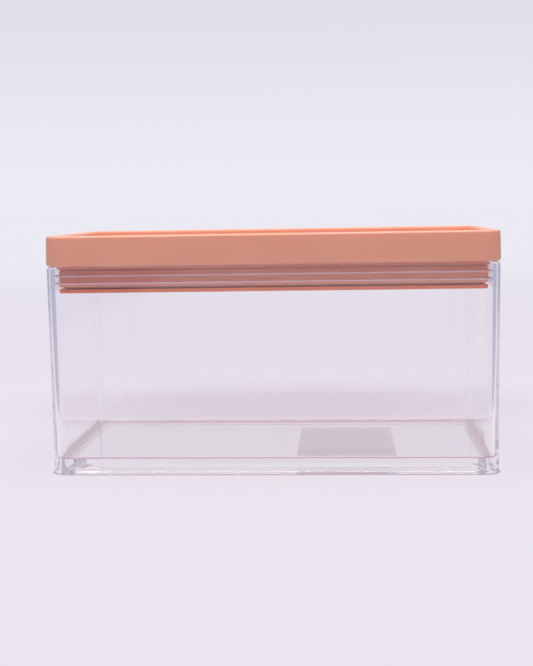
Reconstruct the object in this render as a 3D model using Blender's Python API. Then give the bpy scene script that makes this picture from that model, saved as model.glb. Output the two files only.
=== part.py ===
"""A clear food storage container with a lid that drops into its mouth.

The body is one clear moulding that stands on a foot rim. The lid is a peach tray, flush with the
walls, whose plug hangs inside the mouth. A silicone ring with two fins sits in the groove round
the plug, and an inner plate snaps into the plug and closes it from below. A paper label is stuck
under the base. Lengths are in metres, +Z is up, and the origin is at the middle of the base.
"""

import math

import bmesh
import bpy
from mathutils import Vector

# Plan of the whole container, taken outside the lid at its lower edge
LENGTH = 0.2000
DEPTH = 0.1000
CORNER_RADIUS = 0.0076
TIGHT_RADIUS = 0.0026  # the smallest plan corner in the mould, inside or out
CLEARANCE = 0.0003  # air between two pieces that rest on, or fit into, each other

# Clear body
BODY_HEIGHT = 0.0929
BODY_STEP_IN = 0.0001  # the walls stand this far inside the lid's outline
BODY_LEAN = 0.00035  # and lean in this far from the rim to the base
WALL = 0.0030
FLOOR_THICKNESS = 0.0048
FLOOR_FILLET = 0.0015
RIM_ROUND = 0.0014
BASE_ROUND = 0.0005
FOOT_HEIGHT = 0.0018
FOOT_WIDTH = 0.0062  # of the foot rim at the two ends
FOOT_DEEPER = 0.0030  # the rim is this much wider at the front and the back
FOOT_ROUND = 0.0003
RECESS_RADIUS = 0.0042  # plan corner of the recess inside the foot rim
GATE_DIAMETER = 0.0070  # the round mark that the mould's gate leaves under the base
GATE_DEPTH = 0.0005

# Lid cap
LID_HEIGHT = 0.0132
LID_LEAN = 0.00035  # each side of the rim wall leans this far
LID_WALL = 0.0030
LID_ROUND = 0.0009
PANEL_THICKNESS = 0.0024
PANEL_FILLET = 0.0012
SKIRT_ROUND = 0.0008
STEP_DROP = 0.0007  # the panel steps down into the mouth by this much, over the seal
STEP_ROUND = 0.0002
PLUG_WALL = 0.0024

# Seal
BAND_SETBACK = 0.0024  # from the body's inner wall to the seal's band
BAND_HEIGHT = 0.0071
BAND_THICKNESS = 0.0016
BAND_ROUND = 0.0003
GAP_ABOVE = 0.0013  # the open line between the lid's step and the band
GAP_BELOW = 0.0010  # and the one between the band and the flange
FIN_SHARES = (0.338, 0.802)  # of the band's height, from its top down to each fin
FIN_ROOT = 0.0010
FIN_TIP = 0.0005
FIN_LIFT = 0.0003  # a fin's tip is bent up this far
ROOT_HEIGHT = 0.0024  # the rib inside the band that keys it to the plug
ROOT_DEPTH = 0.0010

# Inner plate
FLANGE_THICKNESS = 0.0017
FLANGE_PROUD = 0.0001  # the flange stands out past the seal's band
FLANGE_ROUND = 0.0004
UPSTAND_HEIGHT = 0.0060
UPSTAND_WALL = 0.0016
SNAP_HEIGHT = 0.0021  # middle of the snap bead above the flange
SNAP_SIZE = 0.0014  # height of the bead where it leaves the upstand
SNAP_REACH = 0.0008
SNAP_TIP_SHARE = 0.3  # of the bead's height, for the flat at its tip

# Label
LABEL_LENGTH = 0.0450
LABEL_THICKNESS = 0.0002
LABEL_CORNER = 0.0015
LABEL_X = 0.0325
LABEL_FRONT_MARGIN = 0.0044  # from the foot rim at the front to the label
LABEL_BACK_MARGIN = 0.0113  # and from the label to the foot rim at the back

# Fineness of the meshes
CORNER_SEGMENTS = 8
ARC_SEGMENTS = 3
GATE_SEGMENTS = 32
SHARP_ANGLE = math.radians(35)
ROUNDING_SHARE = 0.48  # of a profile's side, the most that one rounding may take

# Insets from the plan to the faces that fit each other
MOUTH_INSET = BODY_STEP_IN + WALL
BAND_INSET = MOUTH_INSET + BAND_SETBACK
FLANGE_INSET = BAND_INSET - FLANGE_PROUD
NECK_INSET = BAND_INSET + BAND_THICKNESS + CLEARANCE
PLUG_INSET = NECK_INSET + PLUG_WALL
UPSTAND_INSET = PLUG_INSET + CLEARANCE

# The label fills the depth of the recess between its two margins
RECESS_DEPTH = DEPTH - 2 * (BODY_STEP_IN + BODY_LEAN + FOOT_WIDTH + FOOT_DEEPER)
LABEL_DEPTH = RECESS_DEPTH - LABEL_FRONT_MARGIN - LABEL_BACK_MARGIN
LABEL_Y = (LABEL_FRONT_MARGIN - LABEL_BACK_MARGIN) / 2

# Heights in the lid, counted from the body's rim
LID_TOP = CLEARANCE + LID_HEIGHT
PANEL_TOP = CLEARANCE + PANEL_THICKNESS
BAND_TOP = -STEP_DROP - GAP_ABOVE
BAND_BOTTOM = BAND_TOP - BAND_HEIGHT
FLANGE_TOP = BAND_BOTTOM - GAP_BELOW
FLANGE_BOTTOM = FLANGE_TOP - FLANGE_THICKNESS
ROOT_LEVEL = BAND_TOP - FIN_SHARES[0] * BAND_HEIGHT
SNAP_LEVEL = FLANGE_TOP + SNAP_HEIGHT


def body_inset(height):
    """How far the leaning outside of the body stands inside the plan at a height."""
    return BODY_STEP_IN + BODY_LEAN * (1 - height / BODY_HEIGHT)


def rounded(profile, closed):
    """Replaces each (inset, height, radius) corner of a profile by an arc of that radius.

    An open profile starts and ends on a level face that reaches the middle of the plan.
    """
    corners = [Vector(point[:2]) for point in profile]
    if closed:
        before, after = corners[-1], corners[0]
    else:
        before = Vector((DEPTH / 2, corners[0].y))
        after = Vector((DEPTH / 2, corners[-1].y))
    around = [before, *corners, after]
    points = []
    for index, (corner, radius) in enumerate(zip(corners, (point[2] for point in profile))):
        back, ahead = around[index] - corner, around[index + 2] - corner
        half_angle = back.angle(ahead) / 2
        longest = ROUNDING_SHARE * min(back.length, ahead.length)
        reach = min(radius / math.tan(half_angle), longest)
        if reach == 0:
            points.append(corner)
            continue
        start = corner + back.normalized() * reach
        end = corner + ahead.normalized() * reach
        towards_middle = (back.normalized() + ahead.normalized()).normalized()
        middle = corner + towards_middle * (reach / math.cos(half_angle))
        for step in range(ARC_SEGMENTS + 1):
            share = step / ARC_SEGMENTS
            points.append(middle + (start - middle).slerp(end - middle, share) * (start - middle).length)
    return points


def plan_ring(mesh, inset, height, in_recess=False):
    """Adds the plan's rounded rectangle, drawn in by an inset, and returns its vertices.

    A ring of the recess is drawn in further at the front and the back, with corners of its own.
    """
    radius = max(CORNER_RADIUS - inset, TIGHT_RADIUS)
    depth_inset = inset
    if in_recess:
        radius = RECESS_RADIUS + body_inset(0) + FOOT_WIDTH - inset
        depth_inset = inset + FOOT_DEEPER
    middle_x = LENGTH / 2 - inset - radius
    middle_y = DEPTH / 2 - depth_inset - radius
    ring = []
    for quarter, (side_x, side_y) in enumerate(((1, 1), (-1, 1), (-1, -1), (1, -1))):
        for step in range(CORNER_SEGMENTS + 1):
            angle = (quarter + step / CORNER_SEGMENTS) * math.pi / 2
            x = side_x * middle_x + radius * math.cos(angle)
            y = side_y * middle_y + radius * math.sin(angle)
            ring.append(mesh.verts.new((x, y, height)))
    return ring


def sweep_round_plan(profile, closed=False, recess_corners=0):
    """Lofts a profile round the plan, ring by ring. An open one ends on a level face at each end.

    The first corners of a profile may belong to the recess under the base.
    """
    mesh = bmesh.new()
    recess_rings = recess_corners * (ARC_SEGMENTS + 1)
    rings = [
        plan_ring(mesh, *point, in_recess=index < recess_rings)
        for index, point in enumerate(rounded(profile, closed))
    ]
    pairs = list(zip(rings, rings[1:]))
    if closed:
        pairs.append((rings[-1], rings[0]))
    else:
        mesh.faces.new(rings[0])
        mesh.faces.new(rings[-1])
    for ring, following in pairs:
        for index in range(len(ring)):
            mesh.faces.new((ring[index - 1], ring[index], following[index], following[index - 1]))
    bmesh.ops.recalc_face_normals(mesh, faces=mesh.faces)
    return mesh


def bead(face, tip, level, size, tip_size):
    """Profile points of a bead or groove across a face, from its upper end to its lower one."""
    return [
        (face, level + size / 2, 0),
        (tip, level + tip_size / 2, 0),
        (tip, level - tip_size / 2, 0),
        (face, level - size / 2, 0),
    ]


def plastic(name, colour, roughness, transmission=0.0, ior=1.5):
    """Makes a Principled material of one colour."""
    material = bpy.data.materials.new(name)
    material.use_nodes = True
    shader = material.node_tree.nodes["Principled BSDF"]
    shader.inputs["Base Color"].default_value = (*colour, 1.0)
    shader.inputs["Metallic"].default_value = 0.0
    shader.inputs["Roughness"].default_value = roughness
    shader.inputs["Transmission Weight"].default_value = transmission
    shader.inputs["IOR"].default_value = ior
    return material


def add_piece(name, mesh, material, collection, parent):
    """Turns a bmesh into a named object under its parent empty."""
    data = bpy.data.meshes.new(name)
    mesh.to_mesh(data)
    mesh.free()
    data.materials.append(material)
    data.shade_smooth()
    data.set_sharp_from_angle(angle=SHARP_ANGLE)
    piece = bpy.data.objects.new(name, data)
    piece.parent = parent
    collection.objects.link(piece)
    return piece


def add_empty(name, location, collection, parent=None):
    """Adds an empty that carries the pieces of one body."""
    empty = bpy.data.objects.new(name, None)
    empty.location = location
    empty.parent = parent
    empty.empty_display_size = LID_HEIGHT
    collection.objects.link(empty)
    return empty


def container_body():
    """The clear moulding: recess under the base, foot rim, walls, rim, cavity and floor."""
    floor = FOOT_HEIGHT + FLOOR_THICKNESS
    foot = body_inset(0) + FOOT_WIDTH
    return sweep_round_plan([
        (foot, FOOT_HEIGHT, FOOT_ROUND),
        (foot, 0, FOOT_ROUND),
        (body_inset(0), 0, BASE_ROUND),
        (body_inset(BODY_HEIGHT), BODY_HEIGHT, RIM_ROUND),
        (body_inset(BODY_HEIGHT) + WALL, BODY_HEIGHT, RIM_ROUND),
        (body_inset(floor) + WALL, floor, FLOOR_FILLET),
    ], recess_corners=2)


def gate_cutter(collection, parent):
    """A short rod that cuts the gate mark into the underside of the base."""
    mesh = bmesh.new()
    bmesh.ops.create_cone(
        mesh,
        cap_ends=True,
        segments=GATE_SEGMENTS,
        radius1=GATE_DIAMETER / 2,
        radius2=GATE_DIAMETER / 2,
        depth=FOOT_HEIGHT + GATE_DEPTH,
    )
    bmesh.ops.translate(mesh, verts=mesh.verts, vec=(0, 0, (FOOT_HEIGHT + GATE_DEPTH) / 2))
    data = bpy.data.meshes.new("gate_cutter")
    mesh.to_mesh(data)
    mesh.free()
    cutter = bpy.data.objects.new("gate_cutter", data)
    cutter.parent = parent
    cutter.hide_render = True
    cutter.display_type = "WIRE"
    collection.objects.link(cutter)
    return cutter


def lid_cap():
    """The peach tray: sunk panel, raised rim, skirt, step, and the plug wall with its grooves."""
    lip = LID_LEAN + LID_WALL
    key_size = ROOT_HEIGHT + 2 * CLEARANCE
    key_groove = bead(NECK_INSET, NECK_INSET + ROOT_DEPTH, ROOT_LEVEL, key_size, key_size)
    snap_size = SNAP_SIZE + 2 * CLEARANCE
    snap_tip = UPSTAND_INSET - SNAP_REACH - CLEARANCE
    snap_tip_size = SNAP_TIP_SHARE * SNAP_SIZE + 2 * CLEARANCE
    snap_groove = bead(PLUG_INSET, snap_tip, SNAP_LEVEL, snap_size, snap_tip_size)
    plug_bottom = FLANGE_TOP + CLEARANCE
    return sweep_round_plan([
        (lip + LID_LEAN, PANEL_TOP, PANEL_FILLET),
        (lip, LID_TOP, LID_ROUND),
        (LID_LEAN, LID_TOP, LID_ROUND),
        (0, CLEARANCE, SKIRT_ROUND),
        (FLANGE_INSET, CLEARANCE, 0),
        (FLANGE_INSET, -STEP_DROP, STEP_ROUND),
        (NECK_INSET, -STEP_DROP, 0),
        *key_groove,
        (NECK_INSET, plug_bottom, 0),
        (PLUG_INSET, plug_bottom, 0),
        *reversed(snap_groove),
        (PLUG_INSET, CLEARANCE, 0),
    ])


def seal_ring():
    """The silicone ring: a band, two fins that meet the walls, and a rib that keys it."""
    lowest_fin = BODY_HEIGHT + BAND_BOTTOM
    tip = body_inset(lowest_fin) + WALL + CLEARANCE
    back = BAND_INSET + BAND_THICKNESS
    profile = [(BAND_INSET, BAND_TOP, BAND_ROUND)]
    for share in FIN_SHARES:
        level = BAND_TOP - share * BAND_HEIGHT
        profile += [
            (BAND_INSET, level + FIN_ROOT / 2, 0),
            (tip, level + FIN_LIFT + FIN_TIP / 2, 0),
            (tip, level + FIN_LIFT - FIN_TIP / 2, 0),
            (BAND_INSET, level - FIN_ROOT / 2, 0),
        ]
    key = bead(back, back + ROOT_DEPTH, ROOT_LEVEL, ROOT_HEIGHT, ROOT_HEIGHT)
    profile += [
        (BAND_INSET, BAND_BOTTOM, BAND_ROUND),
        (back, BAND_BOTTOM, 0),
        *reversed(key),
        (back, BAND_TOP, 0),
    ]
    return sweep_round_plan(profile, closed=True)


def lid_inner_plate():
    """The plate that closes the plug: flange, floor, and an upstand with its snap bead."""
    upstand_top = FLANGE_TOP + UPSTAND_HEIGHT
    inner_face = UPSTAND_INSET + UPSTAND_WALL
    snap_bead = bead(
        UPSTAND_INSET,
        UPSTAND_INSET - SNAP_REACH,
        SNAP_LEVEL,
        SNAP_SIZE,
        SNAP_TIP_SHARE * SNAP_SIZE,
    )
    return sweep_round_plan([
        (inner_face, FLANGE_TOP, 0),
        (inner_face, upstand_top, 0),
        (UPSTAND_INSET, upstand_top, 0),
        *snap_bead,
        (UPSTAND_INSET, FLANGE_TOP, 0),
        (FLANGE_INSET, FLANGE_TOP, FLANGE_ROUND),
        (FLANGE_INSET, FLANGE_BOTTOM, FLANGE_ROUND),
    ])


def base_label():
    """The paper sticker, a thin sheet with rounded corners inside the foot rim."""
    mesh = bmesh.new()
    bmesh.ops.create_cube(mesh, size=1)
    bmesh.ops.scale(mesh, verts=mesh.verts, vec=(LABEL_LENGTH, LABEL_DEPTH, LABEL_THICKNESS))
    upright = [edge for edge in mesh.edges if edge.verts[0].co.xy == edge.verts[1].co.xy]
    bmesh.ops.bevel(
        mesh,
        geom=upright,
        affect="EDGES",
        offset=LABEL_CORNER,
        segments=ARC_SEGMENTS,
        profile=0.5,
        material=-1,
    )
    return mesh


def build():
    """Clears the scene and builds the container with its lid in place."""
    for old in list(bpy.data.objects):
        bpy.data.objects.remove(old, do_unlink=True)
    model = bpy.data.collections.new("food_storage_container")
    cutters = bpy.data.collections.new("cutters")
    for collection in (model, cutters):
        bpy.context.scene.collection.children.link(collection)

    container = add_empty("container", (0, 0, 0), model)
    lid = add_empty("lid", (0, 0, BODY_HEIGHT), model, container)

    clear = plastic("clear styrene", (0.93, 0.92, 0.95), 0.03, transmission=1.0, ior=1.57)
    peach = plastic("peach moulded lid", (0.80, 0.38, 0.24), 0.38)
    peach_inner = plastic("peach moulded plate", (0.76, 0.35, 0.22), 0.42)
    silicone = plastic("milky silicone", (0.72, 0.45, 0.42), 0.45, transmission=0.3, ior=1.41)
    paper = plastic("label paper", (0.72, 0.62, 0.58), 0.80)

    body = add_piece("container_body", container_body(), clear, model, container)
    gate = body.modifiers.new("gate mark", "BOOLEAN")
    gate.operation = "DIFFERENCE"
    gate.solver = "EXACT"
    gate.object = gate_cutter(cutters, container)

    add_piece("lid_cap", lid_cap(), peach, model, lid)
    add_piece("seal_ring", seal_ring(), silicone, model, lid)
    add_piece("lid_inner_plate", lid_inner_plate(), peach_inner, model, lid)

    label = add_piece("base_label", base_label(), paper, model, container)
    label.location = (LABEL_X, LABEL_Y, FOOT_HEIGHT - CLEARANCE - LABEL_THICKNESS / 2)


build()
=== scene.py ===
"""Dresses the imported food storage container: a clear styrene box with a peach lid and a milky seal.

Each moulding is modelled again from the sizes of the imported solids, with finer roundings, because
light that bends through a clear wall shows every flat. The lid's top rim is a little rounder too,
as its highlight is in the photograph. Lengths are in metres.
"""

import math

import bmesh
import bpy
from mathutils import Matrix, Vector


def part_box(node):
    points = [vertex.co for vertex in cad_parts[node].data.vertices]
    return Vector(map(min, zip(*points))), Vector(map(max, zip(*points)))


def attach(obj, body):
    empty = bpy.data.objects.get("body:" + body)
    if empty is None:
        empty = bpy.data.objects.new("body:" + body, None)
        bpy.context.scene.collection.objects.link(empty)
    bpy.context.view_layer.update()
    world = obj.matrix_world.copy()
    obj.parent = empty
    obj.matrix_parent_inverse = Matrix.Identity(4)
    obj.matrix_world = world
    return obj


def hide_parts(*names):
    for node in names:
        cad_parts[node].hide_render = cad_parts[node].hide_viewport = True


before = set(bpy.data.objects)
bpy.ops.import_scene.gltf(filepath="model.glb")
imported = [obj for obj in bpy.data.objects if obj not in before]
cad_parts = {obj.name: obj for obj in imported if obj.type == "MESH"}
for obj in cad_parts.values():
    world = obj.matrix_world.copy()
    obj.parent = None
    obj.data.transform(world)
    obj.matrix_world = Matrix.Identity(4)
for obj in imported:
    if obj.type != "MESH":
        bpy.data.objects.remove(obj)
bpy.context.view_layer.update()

MM = 0.001

# Plan, counted outside the lid at its lower edge
HALF_LENGTH = 100.0 * MM
HALF_DEPTH = 50.0 * MM
CORNER_RADIUS = 7.6 * MM
TIGHT_RADIUS = 2.6 * MM  # the smallest plan corner in the mould
CLEARANCE = 0.3 * MM  # air between two pieces that rest on, or fit into, each other

# Heights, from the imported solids
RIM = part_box("container_body")[1].z
LID_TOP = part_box("lid_cap")[1].z
BAND_BOTTOM, BAND_TOP = (corner.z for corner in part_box("seal_ring"))
PLATE_BOTTOM, PLATE_TOP = (corner.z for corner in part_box("lid_inner_plate"))
LABEL_LOW, LABEL_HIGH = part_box("base_label")

# Clear body
BODY_STEP_IN = 0.1 * MM  # the walls stand this far inside the lid's outline
BODY_LEAN = 0.35 * MM  # and lean in this far from the rim to the base
WALL = 3.0 * MM
FLOOR_THICKNESS = 4.8 * MM
FLOOR_FILLET = 1.5 * MM
RIM_ROUND = 1.4 * MM
BASE_ROUND = 0.5 * MM
FOOT_HEIGHT = 1.8 * MM
FOOT_WIDTH = 6.2 * MM  # of the foot rim at the two ends
FOOT_DEEPER = 3.0 * MM  # the rim is this much wider at the front and the back
FOOT_ROUND = 0.3 * MM
RECESS_RADIUS = 4.2 * MM  # plan corner of the recess inside the foot rim
GATE_DIAMETER = 7.0 * MM  # the round mark that the mould's gate leaves under the base
GATE_DEPTH = 0.5 * MM

# Lid cap
LID_LEAN = 0.35 * MM  # each side of the rim wall leans this far
LID_WALL = 3.0 * MM
LID_ROUND = 1.1 * MM  # 0.2 more than in the solids, for the highlight in the photograph
SKIRT_ROUND = 0.8 * MM
PANEL_THICKNESS = 2.4 * MM
PANEL_FILLET = 1.2 * MM
STEP_DROP = 0.7 * MM  # the panel steps down into the mouth by this much, over the seal
STEP_ROUND = 0.2 * MM
PLUG_WALL = 2.4 * MM

# Seal
BAND_SETBACK = 2.4 * MM  # from the body's inner wall to the seal's band
BAND_THICKNESS = 1.6 * MM
BAND_ROUND = 0.3 * MM
FIN_SHARES = (0.338, 0.802)  # of the band's height, from its top down to each fin
FIN_ROOT = 1.0 * MM
FIN_TIP = 0.5 * MM
FIN_LIFT = 0.3 * MM  # a fin's tip is bent up this far
ROOT_HEIGHT = 2.4 * MM  # the rib inside the band that keys it to the plug
ROOT_DEPTH = 1.0 * MM

# Inner plate
FLANGE_THICKNESS = 1.7 * MM
FLANGE_PROUD = 0.1 * MM  # the flange stands out past the seal's band
FLANGE_ROUND = 0.4 * MM
UPSTAND_WALL = 1.6 * MM
SNAP_HEIGHT = 2.1 * MM  # middle of the snap bead above the flange
SNAP_SIZE = 1.4 * MM
SNAP_TIP = 0.42 * MM
SNAP_REACH = 0.8 * MM

# Insets from the plan to the faces that fit each other
MOUTH_INSET = BODY_STEP_IN + WALL
BAND_INSET = MOUTH_INSET + BAND_SETBACK
BAND_BACK = BAND_INSET + BAND_THICKNESS
FLANGE_INSET = BAND_INSET - FLANGE_PROUD
NECK_INSET = BAND_BACK + CLEARANCE
PLUG_INSET = NECK_INSET + PLUG_WALL
UPSTAND_INSET = PLUG_INSET + CLEARANCE

# Levels worked out from these
FLOOR_TOP = FOOT_HEIGHT + FLOOR_THICKNESS
SKIRT_BOTTOM = RIM + CLEARANCE
PANEL_TOP = SKIRT_BOTTOM + PANEL_THICKNESS
STEP_BOTTOM = RIM - STEP_DROP
BAND_HEIGHT = BAND_TOP - BAND_BOTTOM
ROOT_LEVEL = BAND_TOP - FIN_SHARES[0] * BAND_HEIGHT
FLANGE_TOP = PLATE_BOTTOM + FLANGE_THICKNESS
SNAP_LEVEL = FLANGE_TOP + SNAP_HEIGHT

# Label
LABEL_CORNER = 1.5 * MM
LABEL_BAND = 17.0 * MM  # depth of the lilac zone at its front
LABEL_BLUR = 4.0 * MM  # the two zones pass into each other over twice this

# Fineness
CORNER_SEGMENTS = 24
ROUND_SEGMENTS = 5
GATE_SEGMENTS = 48
SHARP_ANGLE = math.radians(35)
FLAT_WEIGHT = 100  # how strongly a large face keeps its own normal
WELD = 0.001 * MM

# Clear polystyrene
STYRENE_TINT = "#FDFCFD"
STYRENE_IOR = 1.57
STYRENE_HAZE = 0.02  # the most roughness that the polish leaves
RIPPLE_LENGTH = 60 * MM
RIPPLE_DEPTH = 0.004 * MM

# Peach polypropylene
LID_PEACH = ("#EEAE92", "#F1B699")
PLATE_PEACH = ("#DD8057", "#E1875E")
PEACH_IOR = 1.49
PEACH_CLOUD = 40 * MM
SATIN_GRAIN = 0.35 * MM
SATIN_DEPTH = 0.01 * MM
SATIN_BUMP = 0.2
SATIN_ROUGHNESS = (0.26, 0.34)
PEACH_GLOW = 0.7
PEACH_GLOW_REACH = (1.0, 0.45, 0.3)
PEACH_GLOW_DEPTH = 3.0 * MM

# Milky silicone
BAND_PEACH = "#FFB395"  # the thin band shows the plug behind it
FIN_MILK = "#F2C9CE"
FIN_FADE = 0.4 * MM  # from the band's face to where a fin is all milky
SILICONE_IOR = 1.41
SILICONE_CLOUD = 6 * MM
SILICONE_ROUGHNESS = (0.3, 0.42)
SILICONE_CLEARNESS = 0.2
SILICONE_GLOW = 0.7
SILICONE_GLOW_REACH = (1.0, 0.6, 0.5)
SILICONE_GLOW_DEPTH = 2.0 * MM

# Label paper
LABEL_BEIGE = "#F9F8F6"
LABEL_LILAC = "#D2CFE9"
FIBRE_SIZE = 0.8 * MM  # coarser than real fibres, so that they show
FIBRE_DEPTH = 0.02 * MM
FIBRE_BUMP = 0.3
FIBRE_SHEEN = 1.0
FIBRE_SHEEN_ROUGHNESS = 0.6
LABEL_ROUGHNESS = 0.85

# The paper under the container
FLOOR_RADIUS = 30.0
FLOOR_SEGMENTS = 64
FLOOR_DROP = 0.1 * MM
FLOOR_PAPER = "#C8C6CC"
FLOOR_ROUGHNESS = 0.9
# Near the container the glow is pinker: painted light thrown off the peach lid
GLOW_NEAR_PEACH_LIGHT = "#FFE9F6"
GLOW_FAR = "#ECEAF3"
GLOW_RADII = (0.15, 2.0)  # from the near colour and share to the far ones
NEAR_GLOW = 0.78  # share of the glow beside the container
SHADE = "#DFD4DF"
SHADE_PLACE = Vector((0, 0.125, 0))
SHADE_STRETCH = Vector((0.6, 1, 1))  # below 1, the shade is wider that way
SHADE_RADII = (0.02, 0.12)
# Painted contact shadow: a darker, pinker line in the glow along the foot rim, where the rim shades
# the paper
PAINTED_CONTACT_SHADOW = "#C4A6B8"
CONTACT_SHADOW_MIDDLE = -3.0 * MM  # the painted contact shadow's middle, under the rim, counted out from the foot's edge
CONTACT_SHADOW_HALF = 3.2 * MM
CONTACT_SHADOW_FADE = 1.0 * MM
ROOM_FLOOR = "#B4B4CC"
PAPER_EDGE = 0.22  # half the paper's width beside the container
PAPER_FADE = 0.05
PAPER_SPREAD = 0.6  # the edge moves out by this share of the way back

# The room around, by direction: Y and Z run from -1 to 1
BACKDROP_LOW = "#EDEBF4"
BACKDROP_HIGH = "#E1DEE9"
BACKDROP_RISE = 0.2
ROOM_FRONT = "#A8A5B0"
ROOM_SIDE = "#8788A2"
PAPER_LIT = "#E4E0E6"
FRONT_STOP = 0.25  # the ramp's places, from straight in front at 0 to straight behind at 1
SIDE_STOP = 0.6
PAPER_STOP = 0.90
PAPER_STOP_WIDTH = 0.03
TOP_LEVEL = 0.25
TOP_RISE = (0.25, 0.55)

# Lamps: place, size and power
FRONT_LAMP = ((0, -1.2, 0.7), (0.5, 0.6), 1.3)
OVERHEAD_LAMP = ((0, -0.02, 1.0), (0.7, 0.5), 7.0)
LAMP_COLOUR = (1.0, 0.98, 0.97)

# Light paths
BOUNCES = {
    "max_bounces": 160,
    "transmission_bounces": 64,
    "glossy_bounces": 128,
    "diffuse_bounces": 6,
}

# Camera, fitted to the edges in the photograph
PHOTO_HEIGHT = 666
CAMERA_PIXELS = 1132.8
CAMERA_SENSOR = 36.0
CAMERA_NEAR = 0.01
CAMERA_PLACE = Vector((31.1, -539.4, 118.8)) * MM
CAMERA_YAW = 0.0673
CAMERA_PITCH = 0.113
CAMERA_ROLL = -0.017


def linear(code):
    """Turns an sRGB hex colour to the linear values that a shader takes."""
    values = [int(code[i:i + 2], 16) / 255 for i in (1, 3, 5)]
    return (*(v / 12.92 if v <= 0.04045 else ((v + 0.055) / 1.055) ** 2.4 for v in values), 1.0)


def fill_inputs(tree, node, inputs):
    """Fills a node's inputs with values or links."""
    for name, value in inputs.items():
        if isinstance(value, bpy.types.NodeSocket):
            tree.links.new(value, node.inputs[name])
        else:
            node.inputs[name].default_value = value


def add_node(tree, kind, inputs=None, **settings):
    """Adds one node, sets its properties, and fills its inputs."""
    made = tree.nodes.new(kind)
    for name, value in settings.items():
        setattr(made, name, value)
    fill_inputs(tree, made, inputs or {})
    return made


def new_material(name):
    """An empty node material, with its shader and the object's own coordinates."""
    material = bpy.data.materials.new(name)
    material.use_nodes = True
    tree = material.node_tree
    coords = tree.nodes.new("ShaderNodeTexCoord").outputs["Object"]
    return material, tree, tree.nodes["Principled BSDF"], coords


def body_inset(height):
    """How far the leaning outside of the body stands inside the plan at a height."""
    return BODY_STEP_IN + BODY_LEAN * (1 - height / RIM)


def outline(inset, in_recess=False):
    """Half length, half depth and corner radius of the plan, drawn in by an inset."""
    if in_recess:
        return HALF_LENGTH - inset, HALF_DEPTH - inset - FOOT_DEEPER, RECESS_RADIUS
    return HALF_LENGTH - inset, HALF_DEPTH - inset, max(CORNER_RADIUS - inset, TIGHT_RADIUS)


def plan_face(mesh, plan, height):
    """A level face with the plan's rounded outline."""
    half_x, half_y, radius = plan
    made = bmesh.ops.create_grid(mesh, x_segments=1, y_segments=1, size=1)["verts"]
    bmesh.ops.scale(mesh, verts=made, vec=(half_x, half_y, 1))
    bmesh.ops.translate(mesh, verts=made, vec=(0, 0, height))
    bmesh.ops.bevel(
        mesh,
        geom=made,
        affect="VERTICES",
        offset=radius,
        segments=CORNER_SEGMENTS,
        profile=0.5,
        material=-1,
    )
    return mesh.faces[:][-1]


def round_edges(mesh, edges, rounding):
    """Rounds edges by a radius."""
    bmesh.ops.bevel(
        mesh,
        geom=edges,
        affect="EDGES",
        offset=rounding,
        segments=ROUND_SEGMENTS,
        profile=0.5,
        material=-1,
    )


def step_ring(mesh, ring, here, there):
    """Extrudes a ring of edges and carries the new one on to another outline and height."""
    (half_x, half_y, radius), height = here
    (next_x, next_y, next_radius), next_height = there
    made = bmesh.ops.extrude_edge_only(mesh, edges=ring)["geom"]
    verts = [item for item in made if isinstance(item, bmesh.types.BMVert)]
    edges = [item for item in made if isinstance(item, bmesh.types.BMEdge)]
    grow = next_radius / radius
    for side_x in (-1, 1):
        for side_y in (-1, 1):
            corner = [v for v in verts if v.co.x * side_x > 0 and v.co.y * side_y > 0]
            middle = Vector((side_x * (half_x - radius), side_y * (half_y - radius), height))
            next_middle = Vector((
                side_x * (next_x - next_radius),
                side_y * (next_y - next_radius),
                next_height,
            ))
            bmesh.ops.scale(
                mesh,
                verts=corner,
                vec=(grow, grow, 1),
                space=Matrix.Translation(-middle),
            )
            bmesh.ops.translate(mesh, verts=corner, vec=next_middle - middle)
    kept = set(verts)
    return [edge for edge in edges if kept.issuperset(edge.verts)]


def add_gate_mark(mesh, ring, height):
    """Fills the roof of the recess, with the round mark of the mould's gate in its middle."""
    made = bmesh.ops.create_circle(
        mesh,
        segments=GATE_SEGMENTS,
        radius=GATE_DIAMETER / 2,
        matrix=Matrix.Translation((0, 0, height)),
    )
    rim = set(made["verts"])
    mouth = [edge for edge in mesh.edges if rim.issuperset(edge.verts)]
    bmesh.ops.triangle_fill(mesh, edges=ring + mouth, use_beauty=True)
    walls = bmesh.ops.extrude_edge_only(mesh, edges=mouth)["geom"]
    top = [item for item in walls if isinstance(item, bmesh.types.BMVert)]
    bmesh.ops.translate(mesh, verts=top, vec=(0, 0, GATE_DEPTH))
    bmesh.ops.contextual_create(mesh, geom=top)


def sweep(profile, closed=False, recess_corners=0):
    """Sweeps (inset, height, rounding) corners round the plan. Level faces close an open profile.

    The first corners may belong to the recess under the base.
    """
    mesh = bmesh.new()
    places = [
        (outline(inset, index < recess_corners), height)
        for index, (inset, height, _) in enumerate(profile)
    ]
    start = plan_face(mesh, *places[0])
    rings = [list(start.edges)]
    if closed or recess_corners:
        bmesh.ops.delete(mesh, geom=[start], context="FACES_ONLY")
    if recess_corners:
        add_gate_mark(mesh, rings[0], profile[0][1])
    for here, there in zip(places, places[1:]):
        rings.append(step_ring(mesh, rings[-1], here, there))
    if closed:
        step_ring(mesh, rings[-1], places[-1], places[0])
        bmesh.ops.remove_doubles(mesh, verts=mesh.verts, dist=WELD)
    else:
        bmesh.ops.contextual_create(mesh, geom=rings[-1])
    bmesh.ops.recalc_face_normals(mesh, faces=mesh.faces)
    for ring, (_, _, rounding) in zip(rings, profile):
        if rounding:
            round_edges(mesh, [edge for edge in ring if edge.is_valid], rounding)
    return mesh


def across(face, tip, level, size, tip_size):
    """Profile points of a bead or groove across a face, from its upper end to its lower one."""
    return [
        (face, level + size / 2, 0),
        (tip, level + tip_size / 2, 0),
        (tip, level - tip_size / 2, 0),
        (face, level - size / 2, 0),
    ]


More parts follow.
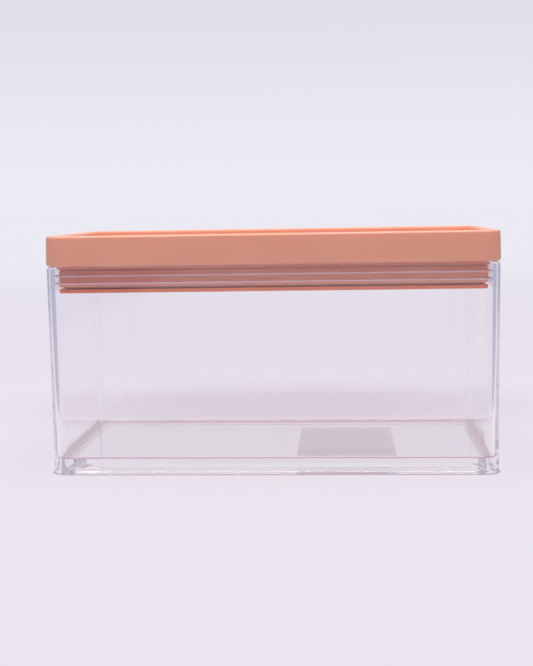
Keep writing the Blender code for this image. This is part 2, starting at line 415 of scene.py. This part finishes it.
def add_piece(name, mesh, material, node, body):
    """Makes a finished object of a bmesh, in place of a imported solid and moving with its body."""
    data = bpy.data.meshes.new(name)
    mesh.to_mesh(data)
    mesh.free()
    data.materials.append(material)
    data.shade_smooth()
    data.set_sharp_from_angle(angle=SHARP_ANGLE)
    piece = bpy.data.objects.new(name, data)
    bpy.context.scene.collection.objects.link(piece)
    weighted = piece.modifiers.new("flat faces stay flat", "WEIGHTED_NORMAL")
    weighted.mode = "FACE_AREA"
    weighted.weight = FLAT_WEIGHT
    weighted.keep_sharp = True
    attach(piece, body)
    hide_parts(node)


def clear_styrene():
    """General-purpose polystyrene, polished in the mould.

    It bends light strongly, hardly tints it, and has a slow ripple where the melt flowed.
    """
    material, tree, shader, coords = new_material("clear polystyrene")
    flow = add_node(
        tree,
        "ShaderNodeTexNoise",
        {"Vector": coords, "Scale": 1 / RIPPLE_LENGTH, "Detail": 0.0},
    )
    haze = add_node(
        tree,
        "ShaderNodeMapRange",
        {"Value": flow.outputs["Fac"], "To Min": 0.0, "To Max": STYRENE_HAZE},
    )
    ripple = add_node(
        tree,
        "ShaderNodeBump",
        {"Height": flow.outputs["Fac"], "Strength": 1.0, "Distance": RIPPLE_DEPTH},
    )
    fill_inputs(tree, shader, {
        "Base Color": linear(STYRENE_TINT),
        "Transmission Weight": 1.0,
        "IOR": STYRENE_IOR,
        "Roughness": haze.outputs["Result"],
        "Normal": ripple.outputs["Normal"],
    })
    return material


def peach_plastic(name, shades):
    """Pigmented polypropylene with a fine spark-eroded satin: soft highlights and a little glow."""
    material, tree, shader, coords = new_material(name)
    cloud = add_node(
        tree,
        "ShaderNodeTexNoise",
        {"Vector": coords, "Scale": 1 / PEACH_CLOUD, "Detail": 3.0},
    )
    peach = add_node(
        tree,
        "ShaderNodeMix",
        {0: cloud.outputs["Fac"], 6: linear(shades[0]), 7: linear(shades[1])},
        data_type="RGBA",
    )
    grain = add_node(
        tree,
        "ShaderNodeTexNoise",
        {"Vector": coords, "Scale": 1 / SATIN_GRAIN, "Detail": 2.0},
    )
    satin = add_node(
        tree,
        "ShaderNodeMapRange",
        {
            "Value": grain.outputs["Fac"],
            "To Min": SATIN_ROUGHNESS[0],
            "To Max": SATIN_ROUGHNESS[1],
        },
    )
    bump = add_node(
        tree,
        "ShaderNodeBump",
        {"Height": grain.outputs["Fac"], "Strength": SATIN_BUMP, "Distance": SATIN_DEPTH},
    )
    fill_inputs(tree, shader, {
        "Base Color": peach.outputs[2],
        "Roughness": satin.outputs["Result"],
        "Normal": bump.outputs["Normal"],
        "IOR": PEACH_IOR,
        "Subsurface Weight": PEACH_GLOW,
        "Subsurface Radius": PEACH_GLOW_REACH,
        "Subsurface Scale": PEACH_GLOW_DEPTH,
    })
    return material


def milky_silicone():
    """Translucent food-grade silicone: milky, rubbery, and it takes on the colour behind it."""
    material, tree, shader, coords = new_material("milky silicone rubber")
    cloud = add_node(
        tree,
        "ShaderNodeTexNoise",
        {"Vector": coords, "Scale": 1 / SILICONE_CLOUD, "Detail": 2.0},
    )
    rough = add_node(
        tree,
        "ShaderNodeMapRange",
        {
            "Value": cloud.outputs["Fac"],
            "To Min": SILICONE_ROUGHNESS[0],
            "To Max": SILICONE_ROUGHNESS[1],
        },
    )
    size = add_node(tree, "ShaderNodeVectorMath", {0: coords}, operation="ABSOLUTE")
    outside = add_node(
        tree,
        "ShaderNodeVectorMath",
        {0: size.outputs["Vector"], 1: (HALF_LENGTH - BAND_INSET, HALF_DEPTH - BAND_INSET, 1.0)},
        operation="SUBTRACT",
    )
    split = add_node(tree, "ShaderNodeSeparateXYZ", {"Vector": outside.outputs["Vector"]})
    farthest = add_node(
        tree,
        "ShaderNodeMath",
        {0: split.outputs["X"], 1: split.outputs["Y"]},
        operation="MAXIMUM",
    )
    fin = add_node(
        tree,
        "ShaderNodeMapRange",
        {"Value": farthest.outputs["Value"], "From Max": FIN_FADE},
    )
    milk = add_node(
        tree,
        "ShaderNodeMix",
        {0: fin.outputs["Result"], 6: linear(BAND_PEACH), 7: linear(FIN_MILK)},
        data_type="RGBA",
    )
    fill_inputs(tree, shader, {
        "Base Color": milk.outputs[2],
        "Roughness": rough.outputs["Result"],
        "IOR": SILICONE_IOR,
        "Transmission Weight": SILICONE_CLEARNESS,
        "Subsurface Weight": SILICONE_GLOW,
        "Subsurface Radius": SILICONE_GLOW_REACH,
        "Subsurface Scale": SILICONE_GLOW_DEPTH,
    })
    return material


def label_paper():
    """Uncoated paper in two pale zones, lilac at its front and beige behind, bare of any words: matt,
    with a grazing sheen.
    """
    material, tree, shader, coords = new_material("uncoated label paper")
    split = add_node(tree, "ShaderNodeSeparateXYZ", {"Vector": coords})
    border = LABEL_LOW.y + LABEL_BAND
    zone = add_node(
        tree,
        "ShaderNodeMapRange",
        {
            "Value": split.outputs["Y"],
            "From Min": border - LABEL_BLUR,
            "From Max": border + LABEL_BLUR,
        },
        interpolation_type="SMOOTHSTEP",
    )
    zone_colour = add_node(
        tree,
        "ShaderNodeMix",
        {0: zone.outputs["Result"], 6: linear(LABEL_LILAC), 7: linear(LABEL_BEIGE)},
        data_type="RGBA",
    )
    fibre = add_node(
        tree,
        "ShaderNodeTexNoise",
        {"Vector": coords, "Scale": 1 / FIBRE_SIZE, "Detail": 4.0},
    )
    bump = add_node(
        tree,
        "ShaderNodeBump",
        {"Height": fibre.outputs["Fac"], "Strength": FIBRE_BUMP, "Distance": FIBRE_DEPTH},
    )
    fill_inputs(tree, shader, {
        "Base Color": zone_colour.outputs[2],
        "Normal": bump.outputs["Normal"],
        "Roughness": LABEL_ROUGHNESS,
        "Sheen Weight": FIBRE_SHEEN,
        "Sheen Roughness": FIBRE_SHEEN_ROUGHNESS,
    })
    return material


def make_body():
    """The clear moulding: foot recess, foot rim, walls, rim, cavity and floor."""
    foot = body_inset(0) + FOOT_WIDTH
    mesh = sweep([
        (foot, FOOT_HEIGHT, FOOT_ROUND),
        (foot, 0, FOOT_ROUND),
        (body_inset(0), 0, BASE_ROUND),
        (body_inset(RIM), RIM, RIM_ROUND),
        (body_inset(RIM) + WALL, RIM, RIM_ROUND),
        (body_inset(FLOOR_TOP) + WALL, FLOOR_TOP, FLOOR_FILLET),
    ], recess_corners=2)
    add_piece("clear_body", mesh, clear_styrene(), "container_body", "container")


def make_label():
    """The sticker under the base."""
    mesh = bmesh.new()
    bmesh.ops.create_cube(mesh, size=1)
    bmesh.ops.scale(mesh, verts=mesh.verts, vec=LABEL_HIGH - LABEL_LOW)
    upright = [edge for edge in mesh.edges if edge.verts[0].co.xy == edge.verts[1].co.xy]
    round_edges(mesh, upright, LABEL_CORNER)
    bmesh.ops.translate(mesh, verts=mesh.verts, vec=(LABEL_LOW + LABEL_HIGH) / 2)
    add_piece("bare_label", mesh, label_paper(), "base_label", "container")


def make_lid_cap():
    """The peach tray with its plug wall and the grooves for the seal's root and the snap bead."""
    lip = LID_LEAN + LID_WALL
    root_size = ROOT_HEIGHT + 2 * CLEARANCE
    plug_bottom = FLANGE_TOP + CLEARANCE
    snap_groove = across(
        PLUG_INSET,
        UPSTAND_INSET - SNAP_REACH - CLEARANCE,
        SNAP_LEVEL,
        SNAP_SIZE + 2 * CLEARANCE,
        SNAP_TIP + 2 * CLEARANCE,
    )
    mesh = sweep([
        (lip + LID_LEAN, PANEL_TOP, PANEL_FILLET),
        (lip, LID_TOP, LID_ROUND),
        (LID_LEAN, LID_TOP, LID_ROUND),
        (0, SKIRT_BOTTOM, SKIRT_ROUND),
        (FLANGE_INSET, SKIRT_BOTTOM, 0),
        (FLANGE_INSET, STEP_BOTTOM, STEP_ROUND),
        (NECK_INSET, STEP_BOTTOM, 0),
        *across(NECK_INSET, NECK_INSET + ROOT_DEPTH, ROOT_LEVEL, root_size, root_size),
        (NECK_INSET, plug_bottom, 0),
        (PLUG_INSET, plug_bottom, 0),
        *reversed(snap_groove),
        (PLUG_INSET, SKIRT_BOTTOM, 0),
    ])
    peach = peach_plastic("satin peach polypropylene", LID_PEACH)
    add_piece("lid_tray", mesh, peach, "lid_cap", "lid")


def make_inner_plate():
    """The plate that closes the plug: flange, floor, and an upstand with its snap bead."""
    inner_face = UPSTAND_INSET + UPSTAND_WALL
    mesh = sweep([
        (inner_face, FLANGE_TOP, 0),
        (inner_face, PLATE_TOP, 0),
        (UPSTAND_INSET, PLATE_TOP, 0),
        *across(UPSTAND_INSET, UPSTAND_INSET - SNAP_REACH, SNAP_LEVEL, SNAP_SIZE, SNAP_TIP),
        (UPSTAND_INSET, FLANGE_TOP, 0),
        (FLANGE_INSET, FLANGE_TOP, FLANGE_ROUND),
        (FLANGE_INSET, PLATE_BOTTOM, FLANGE_ROUND),
    ])
    peach = peach_plastic("satin peach polypropylene plate", PLATE_PEACH)
    add_piece("plug_plate", mesh, peach, "lid_inner_plate", "lid")


def make_seal():
    """The silicone ring: band, two fins and the root that keys it to the plug."""
    tip = body_inset(BAND_BOTTOM) + WALL + CLEARANCE
    profile = [(BAND_INSET, BAND_TOP, BAND_ROUND)]
    for share in FIN_SHARES:
        level = BAND_TOP - share * BAND_HEIGHT
        profile += [
            (BAND_INSET, level + FIN_ROOT / 2, 0),
            (tip, level + FIN_LIFT + FIN_TIP / 2, 0),
            (tip, level + FIN_LIFT - FIN_TIP / 2, 0),
            (BAND_INSET, level - FIN_ROOT / 2, 0),
        ]
    root = across(BAND_BACK, BAND_BACK + ROOT_DEPTH, ROOT_LEVEL, ROOT_HEIGHT, ROOT_HEIGHT)
    profile += [
        (BAND_INSET, BAND_BOTTOM, BAND_ROUND),
        (BAND_BACK, BAND_BOTTOM, 0),
        *reversed(root),
        (BAND_BACK, BAND_TOP, 0),
    ]
    mesh = sweep(profile, closed=True)
    add_piece("two_fin_seal", mesh, milky_silicone(), "seal_ring", "lid")


def make_camera():
    """The photograph's view."""
    forward = Vector((
        -math.sin(CAMERA_YAW) * math.cos(CAMERA_PITCH),
        math.cos(CAMERA_YAW) * math.cos(CAMERA_PITCH),
        -math.sin(CAMERA_PITCH),
    ))
    level = Vector((math.cos(CAMERA_YAW), math.sin(CAMERA_YAW), 0))
    above = level.cross(forward)
    right = math.cos(CAMERA_ROLL) * level + math.sin(CAMERA_ROLL) * above
    up = -math.sin(CAMERA_ROLL) * level + math.cos(CAMERA_ROLL) * above
    turn = Matrix((right, up, -forward)).transposed()
    data = bpy.data.cameras.new("photo_view")
    data.sensor_width = CAMERA_SENSOR
    data.lens = CAMERA_PIXELS / PHOTO_HEIGHT * CAMERA_SENSOR
    data.clip_start = CAMERA_NEAR
    camera = bpy.data.objects.new("photo_view", data)
    camera.matrix_world = Matrix.Translation(CAMERA_PLACE) @ turn.to_4x4()
    bpy.context.scene.collection.objects.link(camera)
    bpy.context.scene.camera = camera


def clear_of_contact_shadow(tree, coords):
    """Where the floor is free of the painted contact shadow under the foot rim: 0 along the rim's
    outline, and 1 away from it.
    """
    foot_x, foot_y, foot_radius = outline(body_inset(0))
    corners = (foot_x - foot_radius, foot_y - foot_radius, 1.0)
    size = add_node(tree, "ShaderNodeVectorMath", {0: coords}, operation="ABSOLUTE")
    outside = add_node(
        tree,
        "ShaderNodeVectorMath",
        {0: size.outputs["Vector"], 1: corners},
        operation="SUBTRACT",
    )
    sides = add_node(tree, "ShaderNodeSeparateXYZ", {"Vector": outside.outputs["Vector"]})
    within = add_node(
        tree,
        "ShaderNodeMath",
        {0: sides.outputs["X"], 1: sides.outputs["Y"]},
        operation="MAXIMUM",
    )
    inner = add_node(
        tree,
        "ShaderNodeMath",
        {0: within.outputs["Value"], 1: 0.0},
        operation="MINIMUM",
    )
    past = add_node(
        tree,
        "ShaderNodeVectorMath",
        {0: outside.outputs["Vector"], 1: (0.0, 0.0, 0.0)},
        operation="MAXIMUM",
    )
    outer = add_node(tree, "ShaderNodeVectorMath", {0: past.outputs["Vector"]}, operation="LENGTH")
    margin = add_node(
        tree,
        "ShaderNodeMath",
        {0: inner.outputs["Value"], 1: outer.outputs["Value"]},
        operation="ADD",
    )
    centred = add_node(
        tree,
        "ShaderNodeMath",
        {0: margin.outputs["Value"], 1: foot_radius + CONTACT_SHADOW_MIDDLE},
        operation="SUBTRACT",
    )
    off_rim = add_node(tree, "ShaderNodeMath", {0: centred.outputs["Value"]}, operation="ABSOLUTE")
    free = add_node(
        tree,
        "ShaderNodeMapRange",
        {
            "Value": off_rim.outputs["Value"],
            "From Min": CONTACT_SHADOW_HALF,
            "From Max": CONTACT_SHADOW_HALF + CONTACT_SHADOW_FADE,
        },
        interpolation_type="SMOOTHSTEP",
    )
    return free.outputs["Result"]


def clear_of_shade(tree, coords):
    """Where the floor is free of the soft shade behind the container: 0 inside it, 1 outside."""
    behind = add_node(
        tree,
        "ShaderNodeVectorMath",
        {0: coords, 1: SHADE_STRETCH, 2: -SHADE_PLACE},
        operation="MULTIPLY_ADD",
    )
    apart = add_node(
        tree,
        "ShaderNodeVectorMath",
        {0: behind.outputs["Vector"]},
        operation="LENGTH",
    )
    clear = add_node(
        tree,
        "ShaderNodeMapRange",
        {
            "Value": apart.outputs["Value"],
            "From Min": SHADE_RADII[0],
            "From Max": SHADE_RADII[1],
        },
        interpolation_type="SMOOTHSTEP",
    )
    return clear.outputs["Result"]


def past_the_paper(tree, coords, straight):
    """Where light that bent in the container meets the room's floor, beside the paper."""
    place = add_node(tree, "ShaderNodeSeparateXYZ", {"Vector": coords})
    spread = add_node(
        tree,
        "ShaderNodeMath",
        {0: place.outputs["Y"], 1: PAPER_SPREAD},
        operation="MULTIPLY",
        use_clamp=True,
    )
    aside = add_node(tree, "ShaderNodeMath", {0: place.outputs["X"]}, operation="ABSOLUTE")
    past_edge = add_node(
        tree,
        "ShaderNodeMath",
        {0: aside.outputs["Value"], 1: spread.outputs["Value"]},
        operation="SUBTRACT",
    )
    beyond = add_node(
        tree,
        "ShaderNodeMapRange",
        {
            "Value": past_edge.outputs["Value"],
            "From Min": PAPER_EDGE,
            "From Max": PAPER_EDGE + PAPER_FADE,
        },
        interpolation_type="SMOOTHSTEP",
    )
    bent = add_node(
        tree,
        "ShaderNodeMath",
        {0: beyond.outputs["Result"], 1: straight},
        operation="SUBTRACT",
        use_clamp=True,
    )
    return bent.outputs["Value"]


def seamless_paper():
    """Matt studio paper that fades to the backdrop: most of what the camera sees of it is a glow.

    A glow takes no shadow, so the soft shade behind the container, the shadow line where its foot
    meets the paper and the pink light from the lid near the container are painted in the glow's
    colour. What the lamps light takes the real shadow.
    """
    material, tree, shader, coords = new_material("pale seamless paper")
    fill_inputs(tree, shader, {
        "Base Color": linear(FLOOR_PAPER),
        "Roughness": FLOOR_ROUGHNESS,
        "Specular IOR Level": 0.0,
    })
    path = add_node(tree, "ShaderNodeLightPath")
    seen = path.outputs["Is Camera Ray"]
    for kind in ("Is Glossy Ray", "Is Transmission Ray"):
        either = add_node(
            tree,
            "ShaderNodeMath",
            {0: seen, 1: path.outputs[kind]},
            operation="MAXIMUM",
        )
        seen = either.outputs["Value"]
    away = add_node(tree, "ShaderNodeVectorMath", {0: coords}, operation="LENGTH")
    fade = add_node(
        tree,
        "ShaderNodeMapRange",
        {
            "Value": away.outputs["Value"],
            "From Min": GLOW_RADII[0],
            "From Max": GLOW_RADII[1],
            "To Min": NEAR_GLOW,
            "To Max": 1.0,
        },
        interpolation_type="SMOOTHSTEP",
    )
    share = add_node(
        tree,
        "ShaderNodeMath",
        {0: seen, 1: fade.outputs["Result"]},
        operation="MULTIPLY",
    )
    # painted pink light from the peach lid, strongest near the container
    glow_with_painted_lid_light = add_node(
        tree,
        "ShaderNodeMix",
        {0: fade.outputs["Result"], 6: linear(GLOW_NEAR_PEACH_LIGHT), 7: linear(GLOW_FAR)},
        data_type="RGBA",
    )
    shaded = add_node(
        tree,
        "ShaderNodeMix",
        {0: clear_of_shade(tree, coords), 6: linear(SHADE), 7: glow_with_painted_lid_light.outputs[2]},
        data_type="RGBA",
    )
    # painted contact shadow along the foot rim
    contact_shaded = add_node(
        tree,
        "ShaderNodeMix",
        {0: clear_of_contact_shadow(tree, coords), 6: linear(PAINTED_CONTACT_SHADOW), 7: shaded.outputs[2]},
        data_type="RGBA",
    )
    bent = past_the_paper(tree, coords, path.outputs["Is Camera Ray"])
    shown = add_node(
        tree,
        "ShaderNodeMix",
        {0: bent, 6: contact_shaded.outputs[2], 7: linear(ROOM_FLOOR)},
        data_type="RGBA",
    )
    glow = add_node(tree, "ShaderNodeEmission", {"Color": shown.outputs[2]})
    surface = add_node(
        tree,
        "ShaderNodeMixShader",
        {0: share.outputs["Value"], 1: shader.outputs["BSDF"], 2: glow.outputs["Emission"]},
    )
    fill_inputs(tree, tree.nodes["Material Output"], {"Surface": surface.outputs["Shader"]})
    return material


def make_floor():
    """A pale floor that takes the container's shadow and has no edge in view."""
    mesh = bmesh.new()
    bmesh.ops.create_circle(
        mesh,
        cap_ends=True,
        segments=FLOOR_SEGMENTS,
        radius=FLOOR_RADIUS,
        matrix=Matrix.Translation((0, 0, -FLOOR_DROP)),
    )
    data = bpy.data.meshes.new("floor")
    mesh.to_mesh(data)
    mesh.free()
    floor = bpy.data.objects.new("floor", data)
    bpy.context.scene.collection.objects.link(floor)
    data.materials.append(seamless_paper())


def make_world():
    """Soft studio light: a pale backdrop behind, brighter overhead, dimmer beside and in front.

    The camera sees the backdrop alone. Every other ray meets the room.
    """
    world = bpy.data.worlds.new("studio")
    bpy.context.scene.world = world
    world.use_nodes = True
    tree = world.node_tree
    direction = add_node(tree, "ShaderNodeTexCoord").outputs["Generated"]
    split = add_node(tree, "ShaderNodeSeparateXYZ", {"Vector": direction})
    along = add_node(
        tree,
        "ShaderNodeMapRange",
        {"Value": split.outputs["Y"], "From Min": -1.0, "From Max": 1.0},
    )
    around = add_node(tree, "ShaderNodeValToRGB", {"Fac": along.outputs["Result"]})
    stops = around.color_ramp.elements
    stops[0].position, stops[0].color = FRONT_STOP, linear(ROOM_FRONT)
    stops[1].position, stops[1].color = SIDE_STOP, linear(ROOM_SIDE)
    for place, colour in ((PAPER_STOP, ROOM_SIDE), (PAPER_STOP + PAPER_STOP_WIDTH, PAPER_LIT)):
        stop = stops.new(place)
        stop.color = linear(colour)
    high = add_node(
        tree,
        "ShaderNodeMapRange",
        {
            "Value": split.outputs["Z"],
            "From Min": TOP_RISE[0],
            "From Max": TOP_RISE[1],
            "To Max": TOP_LEVEL,
        },
        interpolation_type="SMOOTHSTEP",
    )
    studio = add_node(
        tree,
        "ShaderNodeVectorMath",
        {0: around.outputs["Color"], 1: high.outputs["Result"]},
        operation="ADD",
    )
    rise = add_node(
        tree,
        "ShaderNodeMapRange",
        {"Value": split.outputs["Z"], "From Min": 0.0, "From Max": BACKDROP_RISE},
        interpolation_type="SMOOTHSTEP",
    )
    backdrop = add_node(
        tree,
        "ShaderNodeMix",
        {0: rise.outputs["Result"], 6: linear(BACKDROP_LOW), 7: linear(BACKDROP_HIGH)},
        data_type="RGBA",
    )
    path = add_node(tree, "ShaderNodeLightPath")
    shown = add_node(
        tree,
        "ShaderNodeMix",
        {0: path.outputs["Is Camera Ray"], 6: studio.outputs["Vector"], 7: backdrop.outputs[2]},
        data_type="RGBA",
    )
    fill_inputs(tree, tree.nodes["Background"], {"Color": shown.outputs[2]})


def make_lamp(name, place, size, power):
    """A soft rectangular lamp that looks at the container."""
    data = bpy.data.lights.new(name, "AREA")
    data.shape = "RECTANGLE"
    data.size, data.size_y = size
    data.energy = power
    data.color = LAMP_COLOUR
    lamp = bpy.data.objects.new(name, data)
    place = Vector(place)
    turn = (-place).to_track_quat("-Z", "Y").to_matrix().to_4x4()
    lamp.matrix_world = Matrix.Translation(place) @ turn
    bpy.context.scene.collection.objects.link(lamp)


def set_light_paths():
    """Lets light go on through the clear moulding.

    It crosses up to eight faces and is thrown back and forth inside the thick base, and each such
    throw counts as a glossy bounce. Blurring those bounces would dim what shows through the walls.
    """
    cycles = bpy.context.scene.cycles
    for name, count in BOUNCES.items():
        setattr(cycles, name, count)
    cycles.blur_glossy = 0.0


set_light_paths()
make_camera()
make_world()
make_lamp("front", *FRONT_LAMP)
make_lamp("overhead", *OVERHEAD_LAMP)
make_floor()
make_body()
make_label()
make_lid_cap()
make_inner_plate()
make_seal()
bpy.context.scene.view_settings.view_transform = "Standard"
